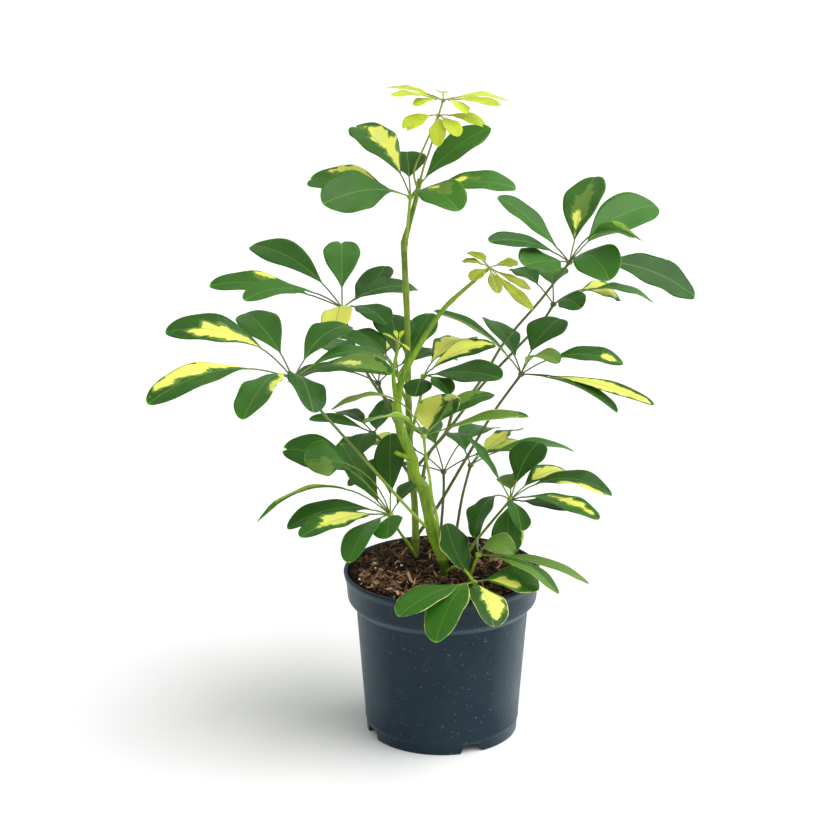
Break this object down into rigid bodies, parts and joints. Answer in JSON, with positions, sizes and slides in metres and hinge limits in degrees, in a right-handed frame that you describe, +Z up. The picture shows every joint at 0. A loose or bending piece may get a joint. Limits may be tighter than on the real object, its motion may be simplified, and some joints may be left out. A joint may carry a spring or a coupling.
{
  "type": "potted umbrella plant",
  "caption": "Variegated umbrella plant with hand-shaped leaves on bare green stems, growing in soil in a round blue-grey plastic nursery pot.",
  "frame": {"origin": "middle of the pot's foot, on the surface that the pot stands on", "axes": "+Z up along the pot's axis, +X to the right of the side that the picture shows, +Y away from the viewer"},
  "size_m": [0.4583, 0.3947, 0.5609],
  "materials": {
    "pot_plastic": "injection-moulded recycled polypropylene, slate blue-grey with fine pale specks, soft sheen",
    "potting_soil": null,
    "green_stem": null,
    "old_stem": null,
    "variegated_leaf": null,
    "young_leaf": null
  },
  "bodies": {
    "root": {"pot": "pot_plastic", "soil": "potting_soil", "main_stem": "green_stem", "tall_stem": "old_stem", "leaf_crown_upper": "young_leaf", "leaf_crown_lower": "young_leaf", "leaf_top_left": "variegated_leaf", "leaf_upper_left": "variegated_leaf", "leaf_left": "variegated_leaf", "leaf_right_high": "variegated_leaf", "leaf_right_behind": "variegated_leaf", "leaf_right_middle": "variegated_leaf", "leaf_front_centre": "variegated_leaf", "leaf_centre_left": "variegated_leaf", "leaf_centre": "variegated_leaf", "leaf_low_left": "variegated_leaf", "leaf_low_right": "variegated_leaf", "leaf_right_inner": "variegated_leaf", "leaf_rim_front": "variegated_leaf", "leaf_rim_right": "variegated_leaf", "leaf_left_inner": "variegated_leaf", "leaf_young_right": "young_leaf", "leaf_bud": "young_leaf", "leaf_back_low": "variegated_leaf", "leaf_back_left": "variegated_leaf"}
  },
  "joints": []
}
